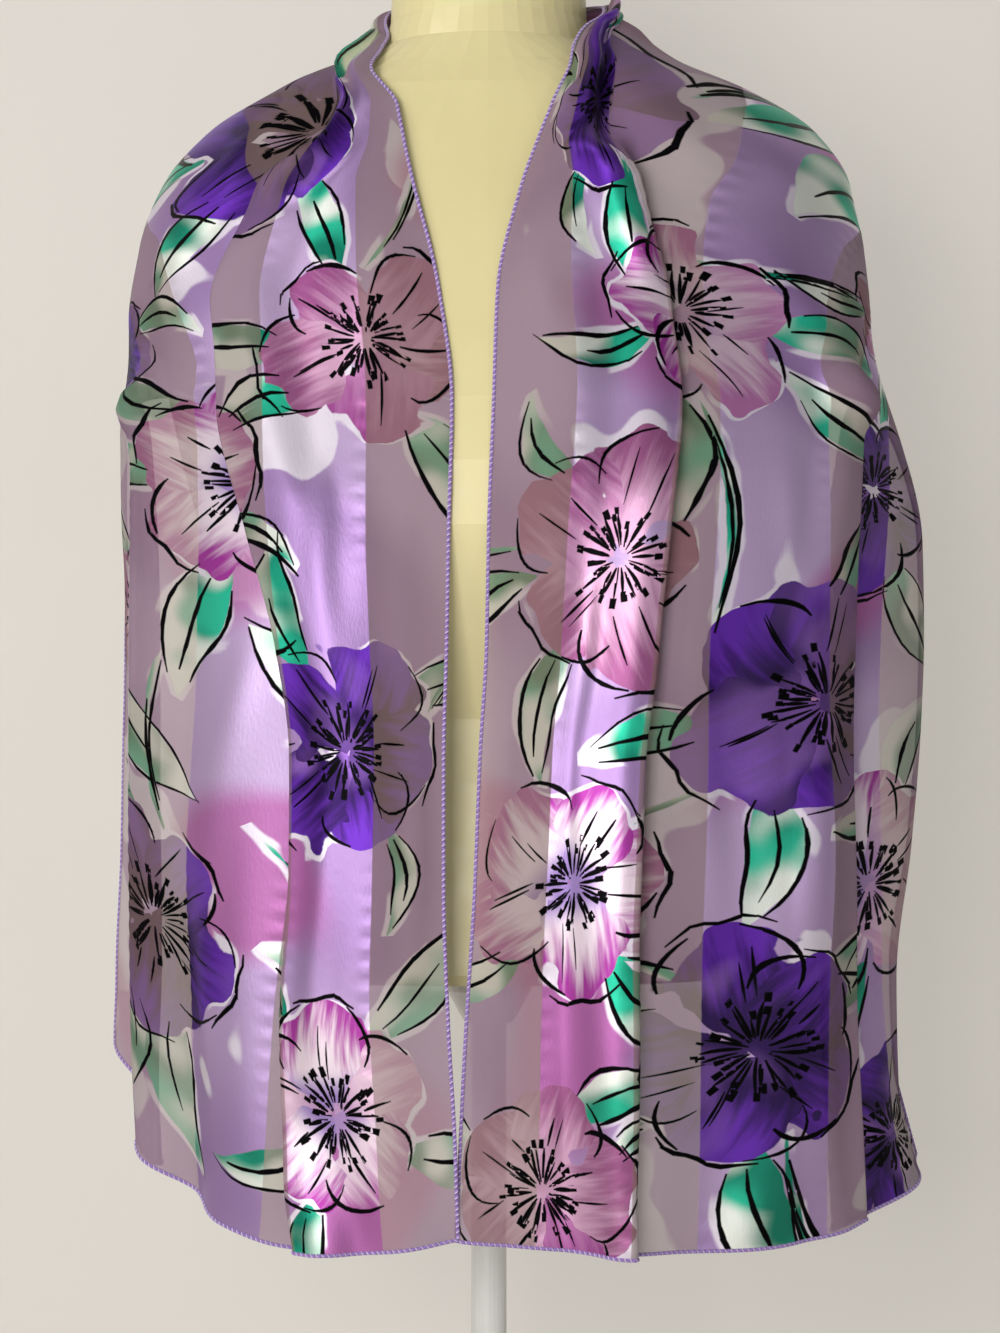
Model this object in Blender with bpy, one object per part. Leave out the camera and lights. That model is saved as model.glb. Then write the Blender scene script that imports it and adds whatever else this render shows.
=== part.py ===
"""A long striped scarf worn as a stole on a limbless torso form, which stands on a pole and a round base.

Metres, +Z up, the front faces -Y, and the origin is the centre of the base's underside. The scarf is one
oblong sheet: it hangs down the left front, runs over the shoulders and round the nape, and hangs down the
right front. It is worked out as sections across its width, from its inner edge to its outer edge.
"""
import math

import bmesh
import bpy
import numpy as np

for old in list(bpy.data.objects):
    bpy.data.objects.remove(old, do_unlink=True)

# Driving dimensions
SCARF_LENGTH = 1.52
WALL = 0.0012
SEAM_GAP = 0.0003
SHOULDER_SEAM = 0.62      # where a front meets the back stretch, measured along the scarf from its hem
SEAM_REACH = 0.008        # how far past a seam the slope of the cloth is worked out from
BASE_RADIUS = 0.150
BASE_THICKNESS = 0.012
POLE_RADIUS = 0.010
COLLAR_RADIUS = 0.024
COLLAR_HEIGHT = 0.030
FORM_BOTTOM = 0.276
FORM_RIM = 0.006          # height of the rounding at the form's lower rim
CHEST = 0.690             # height below which the form is smooth enough for wider rings
LEFT, RIGHT = -1, 1

# The form's level rings, from the neck's top down to its lower rim
FORM_RINGS = {
    "height": (0.866, 0.860, 0.830, 0.800, 0.786, 0.768, 0.745, 0.715, 0.680, 0.640, 0.585, 0.530,
               0.470, 0.400, 0.340, 0.290, 0.276),
    "half_width": (0.0500, 0.0540, 0.0545, 0.0560, 0.0680, 0.1060, 0.1450, 0.1710, 0.1830, 0.1850,
                   0.1780, 0.1640, 0.1470, 0.1310, 0.1400, 0.1560, 0.1580),
    "front": (0.0500, 0.0540, 0.0545, 0.0560, 0.0600, 0.0680, 0.0760, 0.0850, 0.0950, 0.1060,
              0.1220, 0.1300, 0.1160, 0.0990, 0.1010, 0.1060, 0.1070),
    "back": (0.0500, 0.0540, 0.0550, 0.0600, 0.0670, 0.0760, 0.0850, 0.0950, 0.1010, 0.1040, 0.1030,
             0.0990, 0.0920, 0.0850, 0.0900, 0.0980, 0.1000),
    "roundness": (2.0, 2.0, 2.0, 2.0, 2.05, 2.15, 2.25, 2.3, 2.3, 2.3, 2.3, 2.3, 2.3, 2.3, 2.3, 2.3,
                  2.3),
}

# Room between the form and the middle of the cloth, which falls straight from the widest ring above it
ROOM = {
    "height": (0.866, 0.815, 0.800, 0.765, 0.730, 0.690, 0.640, 0.560, 0.450, 0.300, 0.120),
    "left": (0.0020, 0.0028, 0.0031, 0.0135, 0.0120, 0.0130, 0.0170, 0.0120, 0.0120, 0.0100, 0.0040),
    "right": (0.0025, 0.0110, 0.0330, 0.0420, 0.0360, 0.0280, 0.0300, 0.0250, 0.0230, 0.0300, 0.0400),
    "front": (0.0020, 0.0035, 0.0040, 0.0060, 0.0060, 0.0040, 0.0013, 0.0010, 0.0030, 0.0060, 0.0050),
    "back": (0.0020, 0.0031, 0.0035, 0.0120, 0.0120, 0.0100, 0.0080, 0.0080, 0.0080, 0.0080, 0.0080),
}

# Sections of the scarf's left half, from its hem to the middle of the back. Bearings are degrees from the
# front's middle, 90 at the side and 180 at the back. The inner edge of the sections in front is placed by its
# distance from the middle instead. The ridge is how far the main fold's edge lies from the inner edge.
LEFT_HALF = {
    "along": (0.000, 0.050, 0.110, 0.180, 0.250, 0.310, 0.370, 0.440, 0.500, 0.560, 0.615, 0.665,
              0.710, 0.760),
    "inner_out": (0.0155, 0.0170, 0.0205, 0.0230, 0.0230, 0.0215, 0.0205, 0.0190, 0.0260, 0.0390,
                  0.0490, 0.0560),
    "inner_bearing": (128.0, 180.0),
    "inner_height": (0.148, 0.198, 0.258, 0.328, 0.398, 0.457, 0.516, 0.586, 0.645, 0.700, 0.748,
                     0.798, 0.824, 0.822),
    "outer_bearing": (90.0, 91.0, 92.0, 94.0, 95.0, 97.0, 98.0, 99.0, 104.0, 115.0, 131.0, 148.0,
                      164.0, 180.0),
    "outer_height": (0.235, 0.283, 0.338, 0.398, 0.452, 0.495, 0.536, 0.575, 0.598, 0.603, 0.587,
                     0.548, 0.508, 0.488),
    "sag": (0.074, 0.060, 0.040, 0.025, 0.015, 0.008, 0.004, 0.0, 0.0, 0.0, 0.0, 0.0, 0.0, 0.0),
    "ridge": (0.088, 0.088, 0.087, 0.080, 0.079, 0.088, 0.105, 0.125, 0.120, 0.085, 0.045, 0.022,
              0.019, 0.022),
    "tuck": (0.005, 0.007, 0.011, 0.015, 0.019, 0.027, 0.028, 0.023, 0.015, 0.007, 0.0, 0.0, 0.0, 0.0),
    "side_tuck": (0.012, 0.014, 0.018, 0.020, 0.020, 0.020, 0.016, 0.006, 0.0, 0.0, 0.0, 0.0, 0.0, 0.0),
    "roll": (0.002, 0.002, 0.003, 0.003, 0.003, 0.003, 0.004, 0.004, 0.004, 0.004, 0.004, 0.004,
             0.004, 0.004),
    "inner_lift": (0.004, 0.003, 0.001, 0.0, 0.0, 0.0, 0.0, 0.0, 0.0, 0.0, 0.0, 0.0, 0.0, 0.0),
    "flare": (0.015, 0.014, 0.012, 0.011, 0.010, 0.010, 0.012, 0.013, 0.008, 0.003, 0.0, 0.0, 0.0, 0.0),
}

# Sections of the scarf's right half, in the same way
RIGHT_HALF = {
    "along": (0.000, 0.050, 0.110, 0.180, 0.250, 0.310, 0.370, 0.440, 0.500, 0.560, 0.615, 0.665,
              0.710, 0.760),
    "inner_out": (-0.0165, -0.0145, -0.0115, -0.0070, -0.0040, -0.0005, 0.0005, 0.0030, 0.0050,
                  0.0170, 0.0340, 0.0540),
    "inner_bearing": (128.0, 180.0),
    "inner_height": (0.147, 0.197, 0.257, 0.327, 0.397, 0.457, 0.516, 0.586, 0.645, 0.700, 0.748,
                     0.798, 0.824, 0.822),
    "outer_bearing": (90.0, 91.0, 92.0, 94.0, 95.0, 97.0, 98.0, 99.0, 104.0, 115.0, 131.0, 148.0,
                      164.0, 180.0),
    "outer_height": (0.170, 0.220, 0.278, 0.345, 0.411, 0.466, 0.518, 0.568, 0.598, 0.603, 0.587,
                     0.548, 0.508, 0.488),
    "sag": (0.050, 0.042, 0.030, 0.020, 0.012, 0.008, 0.004, 0.0, 0.0, 0.0, 0.0, 0.0, 0.0, 0.0),
    "ridge": (0.092, 0.091, 0.088, 0.084, 0.084, 0.086, 0.091, 0.096, 0.087, 0.064, 0.041, 0.024,
              0.020, 0.022),
    "tuck": (0.005, 0.005, 0.005, 0.005, 0.005, 0.006, 0.006, 0.007, 0.008, 0.006, 0.0, 0.0, 0.0, 0.0),
    "side_tuck": (0.015, 0.020, 0.025, 0.027, 0.027, 0.026, 0.020, 0.007, 0.0, 0.0, 0.0, 0.0, 0.0, 0.0),
    "roll": (0.004, 0.004, 0.005, 0.006, 0.007, 0.008, 0.009, 0.010, 0.011, 0.010, 0.007, 0.004,
             0.003, 0.003),
    "inner_lift": (0.0, 0.0, 0.0, 0.0, 0.0, 0.0, 0.0, 0.0, 0.0, 0.0, 0.0, 0.0, 0.0, 0.0),
    "flare": (0.024, 0.014, 0.016, 0.030, 0.038, 0.041, 0.040, 0.028, 0.012, 0.004, 0.0, 0.0, 0.0, 0.0),
}

FOLD_RADIUS = 0.0020      # round of a fold's turn, so that its layers lie two of these apart
FOLD_RUN = 0.030          # length over which a layer climbs on to the fold
SIDE_SHARE = 0.74         # where the side fold lies on the way from the inner to the outer edge
CLOSED_TUCK = 0.008       # a tuck this deep lies quite closed
SMALLEST_LAYER = 0.003    # width of a fold's hidden layer where the fold has all but opened
INNER_STEPS = 6           # steps across the panel inside the main fold
MIDDLE_STEPS = 12         # steps across the panel between the two folds
OUTER_STEPS = 6           # steps across the panel outside the side fold
UNDER_STEPS = 2           # steps across a hidden layer
TURN_STEPS = 3            # steps round a fold's turn
PATH_STEPS = 80           # steps that a section's length is measured in
HANGING_END = 0.44        # how far up from the hem the cloth hangs straight
HANGING_ROWS = 13         # sections over that length, fewer than where the cloth bends
SHOULDER_ROWS = 9         # sections from there to the seam on the shoulder
BACK_ROWS = 22            # sections of the back stretch
WAVE_HEIGHT = 0.0045      # height of the hanging ends' waves
WAVE_LENGTH = 0.085       # from one wave to the next
WAVE_REACH = 0.42         # how far up from the hem they fade out
WAVE_START = 0.040        # how far from the inner edge they reach their height


def make_material(name, colour, roughness, metallic=0.0):
    """Return a Principled material of one colour."""
    material = bpy.data.materials.new(name)
    material.use_nodes = True
    shader = material.node_tree.nodes["Principled BSDF"]
    shader.inputs["Base Color"].default_value = (*colour, 1.0)
    shader.inputs["Roughness"].default_value = roughness
    shader.inputs["Metallic"].default_value = metallic
    return material


def make_object(name, points, faces, material, sharp_angle=50.0):
    """Return a smooth-shaded object from points and faces, with its faces turned outwards."""
    mesh = bpy.data.meshes.new(name)
    shape = bmesh.new()
    corners = [shape.verts.new(point) for point in points]
    for face in faces:
        shape.faces.new([corners[index] for index in face])
    bmesh.ops.recalc_face_normals(shape, faces=shape.faces)
    shape.to_mesh(mesh)
    shape.free()
    mesh.shade_smooth()
    mesh.set_sharp_from_angle(angle=math.radians(sharp_angle))
    mesh.materials.append(material)
    part = bpy.data.objects.new(name, mesh)
    bpy.context.scene.collection.objects.link(part)
    return part


def smooth(keys, values, wanted):
    """Read a table's column on a smooth curve through its rows that never overshoots them."""
    keys, values = np.asarray(keys, float), np.asarray(values, float)
    wanted = np.asarray(wanted, float)
    if keys[0] > keys[-1]:
        keys, values = keys[::-1], values[::-1]
    steps = np.diff(keys)
    slopes = np.diff(values) / steps
    before, after = slopes[:-1], slopes[1:]
    same_way = before * after > 0
    total = np.where(same_way, before + after, 1.0)
    tangents = np.concatenate(([slopes[0]], np.where(same_way, 2 * before * after / total, 0.0), [slopes[-1]]))
    index = np.clip(np.searchsorted(keys, wanted) - 1, 0, len(keys) - 2)
    t = np.clip((wanted - keys[index]) / steps[index], 0.0, 1.0)
    start, end = values[index], values[index + 1]
    leave, arrive = tangents[index] * steps[index], tangents[index + 1] * steps[index]
    curve = start * (2 * t**3 - 3 * t**2 + 1) + leave * (t**3 - 2 * t**2 + t)
    return curve + end * (3 * t**2 - 2 * t**3) + arrive * (t**3 - t**2)


def ease(t):
    """Rise softly from 0 to 1 while t does."""
    t = np.clip(t, 0.0, 1.0)
    return t * t * (3 - 2 * t)


def form_size(column, height):
    return smooth(FORM_RINGS["height"], FORM_RINGS[column], height)


def widest_above(column, height):
    """The form's size at a height, or its largest size higher up, because cloth falls straight from there."""
    heights = np.linspace(FORM_RINGS["height"][0], 0.0, 400)
    held = np.maximum.accumulate(form_size(column, np.maximum(heights, FORM_BOTTOM)))
    return np.interp(height, heights[::-1], held[::-1])


def drape_point(side, bearing, height):
    """A point of the smooth surface that the cloth lies on, as an array of x, y and z in the last axis."""
    half_width = widest_above("half_width", height)
    half_width = half_width + smooth(ROOM["height"], ROOM["left" if side == LEFT else "right"], height)
    front = widest_above("front", height) + smooth(ROOM["height"], ROOM["front"], height)
    back = widest_above("back", height) + smooth(ROOM["height"], ROOM["back"], height)
    power = 2 / form_size("roundness", height)
    sine, cosine = np.sin(np.radians(bearing)), np.cos(np.radians(bearing))
    x = side * half_width * np.sign(sine) * np.abs(sine) ** power
    y = -np.where(cosine > 0, front, back) * np.sign(cosine) * np.abs(cosine) ** power
    return np.stack((x, y, height + 0 * x), axis=-1)


def drape_normal(side, bearing, height):
    """The direction straight out of that surface."""
    turn, drop = 1.0, 0.002
    across = drape_point(side, bearing + turn, height) - drape_point(side, bearing - turn, height)
    down = drape_point(side, bearing, height - drop) - drape_point(side, bearing, height + drop)
    normal = np.cross(down, across) * side
    return normal / np.linalg.norm(normal, axis=-1, keepdims=True)


def bearing_in_front(side, out, height):
    """The bearing in front at which the surface is a given distance out from the middle."""
    half_width = drape_point(side, 90.0, height)[0] * side
    share = min(abs(out) / half_width, 1.0)
    return math.copysign(math.degrees(math.asin(share ** (form_size("roundness", height) / 2))), out)


def section_table(side):
    """Return a half's table, its inner edge all as bearings, with one row of the other half to run on into."""
    table = dict(LEFT_HALF if side == LEFT else RIGHT_HALF)
    edge = zip(table["inner_out"], table["inner_height"])
    front = [bearing_in_front(side, out, height) for out, height in edge]
    table["inner_bearing"] = tuple(front) + table["inner_bearing"]
    del table["inner_out"]
    for name, values in table.items():
        middle, before = values[-1], values[-2]
        mirrored = name == "along" or name.endswith("bearing")
        table[name] = values + (2 * middle - before if mirrored else before,)
    return table


TABLES = {LEFT: section_table(LEFT), RIGHT: section_table(RIGHT)}


def fold(ridge, tuck):
    """Way across and lift of one fold: over its ridge, back under, and on. A small tuck lies part open."""
    full_turn = math.pi * ease(tuck / CLOSED_TUCK)
    arc = math.pi * FOLD_RADIUS / TURN_STEPS
    hidden = tuck + SMALLEST_LAYER
    over = (np.arange(TURN_STEPS) + 0.5) / TURN_STEPS * full_turn
    angles = np.concatenate((over, np.full(UNDER_STEPS, full_turn), over[::-1]))
    steps = np.concatenate((np.full(TURN_STEPS, arc), np.full(UNDER_STEPS, hidden / UNDER_STEPS),
                            np.full(TURN_STEPS, arc)))
    ways = np.concatenate(([0.0], np.cumsum(steps * np.cos(angles))))
    drops = np.concatenate(([0.0], np.cumsum(steps * np.sin(angles))))
    start = ridge - (ways[-1] + hidden) / 2
    return start + ways, drops[-1] - drops


def folded_path(width, row):
    """Way across and lift of one section: three panels with the main fold and the side fold between them."""
    side = SIDE_SHARE * width
    main_ways, main_lifts = fold(row["ridge"], row["tuck"])
    side_ways, side_lifts = fold(side, row["side_tuck"])

    inner_ways = np.linspace(0, main_ways[0], INNER_STEPS + 1)[:-1]
    inner_lifts = main_lifts[0] * ease((inner_ways - (main_ways[0] - row["tuck"] - FOLD_RUN)) / FOLD_RUN)
    inner_lifts += row["roll"] * np.sin(math.pi * inner_ways / main_ways[0])
    inner_lifts += row["inner_lift"] * (1 - inner_ways / main_ways[0])

    middle_ways = np.linspace(main_ways[-1], side_ways[0], MIDDLE_STEPS + 1)[1:-1]
    middle_lifts = side_lifts[0] * ease((middle_ways - (side_ways[0] - row["side_tuck"] - FOLD_RUN)) / FOLD_RUN)

    outer_ways = np.linspace(side_ways[-1], width, OUTER_STEPS + 1)[1:]
    outer_lifts = row["flare"] * ease((outer_ways - side) / (width - side))
    ways = np.concatenate((inner_ways, main_ways, middle_ways, side_ways, outer_ways))
    return ways, np.concatenate((inner_lifts, main_lifts, middle_lifts, side_lifts, outer_lifts))


def section(distance):
    """Return the points of the section at a distance along the scarf from its left hem."""
    side = LEFT if distance <= SCARF_LENGTH / 2 else RIGHT
    along = min(distance, SCARF_LENGTH - distance)
    table = TABLES[side]
    names = [name for name in table if name != "along"]
    row = {name: float(smooth(table["along"], table[name], along)) for name in names}

    share = np.linspace(0, 1, PATH_STEPS + 1)
    bearings = row["inner_bearing"] + (row["outer_bearing"] - row["inner_bearing"]) * share
    rise = row["outer_height"] - row["inner_height"]
    heights = row["inner_height"] + rise * share**2 - row["sag"] * share * (1 - share)
    path = drape_point(side, bearings, heights)
    lengths = np.concatenate(([0], np.cumsum(np.linalg.norm(np.diff(path, axis=0), axis=1))))

    ways, lifts = folded_path(lengths[-1], row)
    fade = ease(1 - along / WAVE_REACH)
    waves = np.sin(2 * math.pi * ways / WAVE_LENGTH + side) * ease(ways / WAVE_START)
    lifts = lifts + WAVE_HEIGHT * fade * waves
    bearings = np.interp(ways, lengths, bearings)
    heights = np.interp(ways, lengths, heights)
    return drape_point(side, bearings, heights) + lifts[:, None] * drape_normal(side, bearings, heights)


def directions(sheet, axis):
    """At each point of a sheet, the direction midway between those to its two neighbours along one axis."""
    steps = np.diff(sheet, axis=axis)
    steps /= np.linalg.norm(steps, axis=2, keepdims=True)
    first, last = np.take(steps, [0], axis), np.take(steps, [-1], axis)
    return np.concatenate((first, steps), axis) + np.concatenate((steps, last), axis)


def cloth_wall(name, distances, material):
    """Make one stretch of the scarf as a thin closed wall through the sections at some distances along it."""
    longer = np.concatenate(([distances[0] - SEAM_REACH], distances, [distances[-1] + SEAM_REACH]))
    inside = (longer >= 0) & (longer <= SCARF_LENGTH)
    sheet = np.array([section(distance) for distance in longer[inside]])
    normals = np.cross(directions(sheet, 1), directions(sheet, 0))
    normals /= np.linalg.norm(normals, axis=2, keepdims=True)
    first = int(inside[0])
    sheet, normals = sheet[first:first + len(distances)], normals[first:first + len(distances)]
    rows, columns = sheet.shape[:2]
    layers = np.concatenate((sheet + normals * WALL / 2, sheet - normals * WALL / 2))
    points = layers.reshape(-1, 3)

    def at(row, column, layer):
        return (layer * rows + row) * columns + column

    # Both faces of the wall are parted along the same, shorter diagonal, so that it keeps its thickness
    faces = []
    for row in range(rows - 1):
        for column in range(columns - 1):
            corners = ((row, column), (row, column + 1), (row + 1, column + 1), (row + 1, column))
            spans = [np.linalg.norm(sheet[corners[index]] - sheet[corners[index + 2]]) for index in (0, 1)]
            first = 0 if spans[0] <= spans[1] else 1
            for layer in (0, 1):
                loop = [at(*corners[(first + step) % 4], layer) for step in range(4)]
                faces += [(loop[0], loop[1], loop[2]), (loop[0], loop[2], loop[3])]
    rim = ((0, 0), (1, 0), (1, 1), (0, 1))
    for row in range(rows - 1):
        for column in (0, columns - 1):
            faces.append([at(row + step, column, layer) for step, layer in rim])
    for column in range(columns - 1):
        for row in (0, rows - 1):
            faces.append([at(row, column + step, layer) for step, layer in rim])
    return make_object(name, points.tolist(), faces, material, sharp_angle=70.0)


def ring_body(name, rings, material, sharp_angle=50.0):
    """Make a closed body from rings of points, with a flat face on its first and last ring."""
    count = len(rings[0])
    points = [point for ring in rings for point in ring]
    faces = [list(range(count)), list(range(len(points) - count, len(points)))]
    for level in range(len(rings) - 1):
        for index in range(count):
            beside = (index + 1) % count
            here, below = level * count, (level + 1) * count
            faces.append([here + index, here + beside, below + beside, below + index])
    return make_object(name, points, faces, material, sharp_angle)


def dress_form(material):
    """The smooth limbless torso, closed at its neck and at its lower rim."""
    segments = 44
    shoulders = np.linspace(FORM_RINGS["height"][0], CHEST, 13)
    heights = np.concatenate((shoulders[:-1], np.linspace(CHEST, FORM_BOTTOM + FORM_RIM, 13), [FORM_BOTTOM]))
    rings = []
    for height in heights:
        rim = FORM_RIM * 0.7 if height == FORM_BOTTOM else 0.0
        half_width = float(form_size("half_width", height)) - rim
        front = float(form_size("front", height)) - rim
        back = float(form_size("back", height)) - rim
        power = 2 / float(form_size("roundness", height))
        ring = []
        for index in range(segments):
            angle = 2 * math.pi * index / segments
            sine, cosine = math.sin(angle), math.cos(angle)
            x = math.copysign(abs(cosine) ** power, cosine) * half_width
            y = math.copysign(abs(sine) ** power, sine) * (back if sine > 0 else front)
            ring.append((x, y, float(height)))
        rings.append(ring)
    return ring_body("dress_form", rings, material)


def turned_body(name, profile, material, segments=32):
    """Make a turned body from radius and height pairs, from its top to its underside."""
    rings = []
    for radius, height in profile:
        angles = [2 * math.pi * index / segments for index in range(segments)]
        rings.append([(radius * math.cos(angle), radius * math.sin(angle), height) for angle in angles])
    return ring_body(name, rings, material, sharp_angle=35.0)


def stand(material):
    """The round base, the pole and the collar under the form, each on the one below."""
    edge = 0.004
    turned_body("stand_base", [
        (POLE_RADIUS * 2, BASE_THICKNESS + edge),
        (BASE_RADIUS * 0.5, BASE_THICKNESS + edge / 2),
        (BASE_RADIUS - edge, BASE_THICKNESS - edge / 4),
        (BASE_RADIUS, BASE_THICKNESS - edge),
        (BASE_RADIUS, 0.0),
    ], material, segments=48)
    pole_foot = BASE_THICKNESS + edge + SEAM_GAP
    collar_foot = FORM_BOTTOM - SEAM_GAP - COLLAR_HEIGHT
    turned_body("stand_pole", [
        (POLE_RADIUS, collar_foot - SEAM_GAP),
        (POLE_RADIUS, pole_foot),
    ], material, segments=24)
    turned_body("stand_collar", [
        (COLLAR_RADIUS, collar_foot + COLLAR_HEIGHT),
        (COLLAR_RADIUS, collar_foot + COLLAR_HEIGHT * 0.6),
        (POLE_RADIUS * 1.4, collar_foot),
    ], material, segments=32)


cloth = make_material("lilac cloth", (0.38, 0.26, 0.56), 0.45)
cream = make_material("cream plastic", (0.74, 0.66, 0.38), 0.35)
white = make_material("white enamel", (0.80, 0.80, 0.78), 0.30)

dress_form(cream)
stand(white)
front_end = SHOULDER_SEAM - SEAM_GAP / 2
hanging = np.linspace(0, HANGING_END, HANGING_ROWS + 1)
front = np.concatenate((hanging[:-1], np.linspace(HANGING_END, front_end, SHOULDER_ROWS + 1)))
back = np.linspace(front_end + SEAM_GAP, SCARF_LENGTH - front_end - SEAM_GAP, BACK_ROWS + 1)
cloth_wall("scarf_left_front", front, cloth)
cloth_wall("scarf_back", back, cloth)
cloth_wall("scarf_right_front", SCARF_LENGTH - front[::-1], cloth)
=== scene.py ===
import math
import bmesh
import bpy
import numpy as np
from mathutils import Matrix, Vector, noise


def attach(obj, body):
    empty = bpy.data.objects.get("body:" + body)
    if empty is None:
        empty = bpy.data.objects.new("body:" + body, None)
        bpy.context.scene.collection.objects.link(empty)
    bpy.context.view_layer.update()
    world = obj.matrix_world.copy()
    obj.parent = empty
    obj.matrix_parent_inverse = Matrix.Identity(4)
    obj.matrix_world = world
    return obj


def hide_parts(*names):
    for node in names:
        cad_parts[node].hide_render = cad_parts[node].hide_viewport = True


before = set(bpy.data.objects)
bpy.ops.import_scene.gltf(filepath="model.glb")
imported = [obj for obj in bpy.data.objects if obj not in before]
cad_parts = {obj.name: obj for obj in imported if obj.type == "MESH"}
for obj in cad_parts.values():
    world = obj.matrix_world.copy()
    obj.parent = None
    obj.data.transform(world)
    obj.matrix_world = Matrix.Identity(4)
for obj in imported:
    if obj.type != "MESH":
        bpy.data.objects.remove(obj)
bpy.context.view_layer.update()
bpy.ops.object.select_all(action="DESELECT")

# camera, where the photographer stood
photo = {"eye": (0.0063, -1.72, 0.4458), "lens": 82.3}
camera = bpy.data.objects.new("photoCamera", bpy.data.cameras.new("photoCamera"))
bpy.context.scene.collection.objects.link(camera)
camera.location = photo["eye"]
camera.rotation_euler = (math.radians(90), 0, 0)
camera.data.lens = photo["lens"]
bpy.context.scene.camera = camera
print("camera placed")


# small helpers for shader nodes
def startMaterial(name):
    material = bpy.data.materials.new(name)
    material.use_nodes = True
    return material, material.node_tree, material.node_tree.nodes["Principled BSDF"]


def plug(tree, socket, value):
    if hasattr(value, "is_output"):
        tree.links.new(value, socket)
    else:
        socket.default_value = value


def calc(tree, operation, first, second=None, third=None):
    node = tree.nodes.new("ShaderNodeMath")
    node.operation = operation
    for socket, value in zip(node.inputs, (first, second, third)):
        if value is not None:
            plug(tree, socket, value)
    return node.outputs[0]


def ramp(tree, value, low, high, start=0.0, end=1.0):  # soft step from start to end
    node = tree.nodes.new("ShaderNodeMapRange")
    node.interpolation_type = "SMOOTHSTEP"
    entries = {"Value": value, "From Min": low, "From Max": high, "To Min": start, "To Max": end}
    for name, entry in entries.items():
        plug(tree, node.inputs[name], entry)
    return node.outputs[0]


def blend(tree, share, first, second, mode="MIX"):  # mix of two colours
    node = tree.nodes.new("ShaderNodeMix")
    node.data_type = "RGBA"
    node.blend_type = mode
    plug(tree, node.inputs["Factor"], share)
    for name, entry in (("A", first), ("B", second)):
        socket = [s for s in node.inputs if s.name == name and s.type == "RGBA"][0]
        plug(tree, socket, entry)
    return [s for s in node.outputs if s.type == "RGBA"][0]


def cloud(tree, place, scale, detail=2.0, rough=0.5, twist=0.0):  # soft noise, from 0 to 1
    node = tree.nodes.new("ShaderNodeTexNoise")
    plug(tree, node.inputs["Vector"], place)
    node.inputs["Scale"].default_value = scale
    node.inputs["Detail"].default_value = detail
    node.inputs["Roughness"].default_value = rough
    node.inputs["Distortion"].default_value = twist
    return node.outputs["Fac"]


def parts(tree, vector):
    node = tree.nodes.new("ShaderNodeSeparateXYZ")
    tree.links.new(vector, node.inputs[0])
    return node.outputs


def bump(tree, shader, height, distance, strength=1.0):
    node = tree.nodes.new("ShaderNodeBump")
    node.inputs["Strength"].default_value = strength
    node.inputs["Distance"].default_value = distance
    tree.links.new(height, node.inputs["Height"])
    tree.links.new(node.outputs[0], shader.inputs["Normal"])


def colour(code):  # from a screen colour such as "a58ac6"
    values = [int(code[i:i + 2], 16) / 255 for i in (0, 2, 4)]
    return tuple(v / 12.92 if v <= 0.04045 else ((v + 0.055) / 1.055) ** 2.4 for v in values) + (1.0,)


# the form under the cloth, as the scarf is worked out round it
form = {
    "height": (0.866, 0.860, 0.830, 0.800, 0.786, 0.768, 0.745, 0.715, 0.680, 0.640, 0.585, 0.530,
               0.470, 0.400, 0.340, 0.290, 0.276),
    "halfWidth": (0.0500, 0.0540, 0.0545, 0.0560, 0.0680, 0.1060, 0.1450, 0.1710, 0.1830, 0.1850,
                  0.1780, 0.1640, 0.1470, 0.1310, 0.1400, 0.1560, 0.1580),
    "front": (0.0500, 0.0540, 0.0545, 0.0560, 0.0600, 0.0680, 0.0760, 0.0850, 0.0950, 0.1060,
              0.1220, 0.1300, 0.1160, 0.0990, 0.1010, 0.1060, 0.1070),
    "back": (0.0500, 0.0540, 0.0550, 0.0600, 0.0670, 0.0760, 0.0850, 0.0950, 0.1010, 0.1040, 0.1030,
             0.0990, 0.0920, 0.0850, 0.0900, 0.0980, 0.1000),
    "roundness": (2.0, 2.0, 2.0, 2.0, 2.05, 2.15, 2.25, 2.3, 2.3, 2.3, 2.3, 2.3, 2.3, 2.3, 2.3, 2.3,
                  2.3),
}
# how far off the form the cloth hangs, by height
room = {
    "height": (0.866, 0.815, 0.800, 0.765, 0.730, 0.690, 0.640, 0.560, 0.450, 0.300, 0.120),
    "left": (0.0020, 0.0028, 0.0031, 0.0135, 0.0120, 0.0130, 0.0170, 0.0120, 0.0120, 0.0100,
             0.0040),
    "right": (0.0025, 0.0110, 0.0330, 0.0420, 0.0360, 0.0280, 0.0300, 0.0250, 0.0230, 0.0300,
              0.0400),
    "front": (0.0020, 0.0035, 0.0040, 0.0060, 0.0060, 0.0040, 0.0013, 0.0010, 0.0030, 0.0060,
              0.0050),
    "back": (0.0020, 0.0031, 0.0035, 0.0120, 0.0120, 0.0100, 0.0080, 0.0080, 0.0080, 0.0080,
             0.0080),
}
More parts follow.
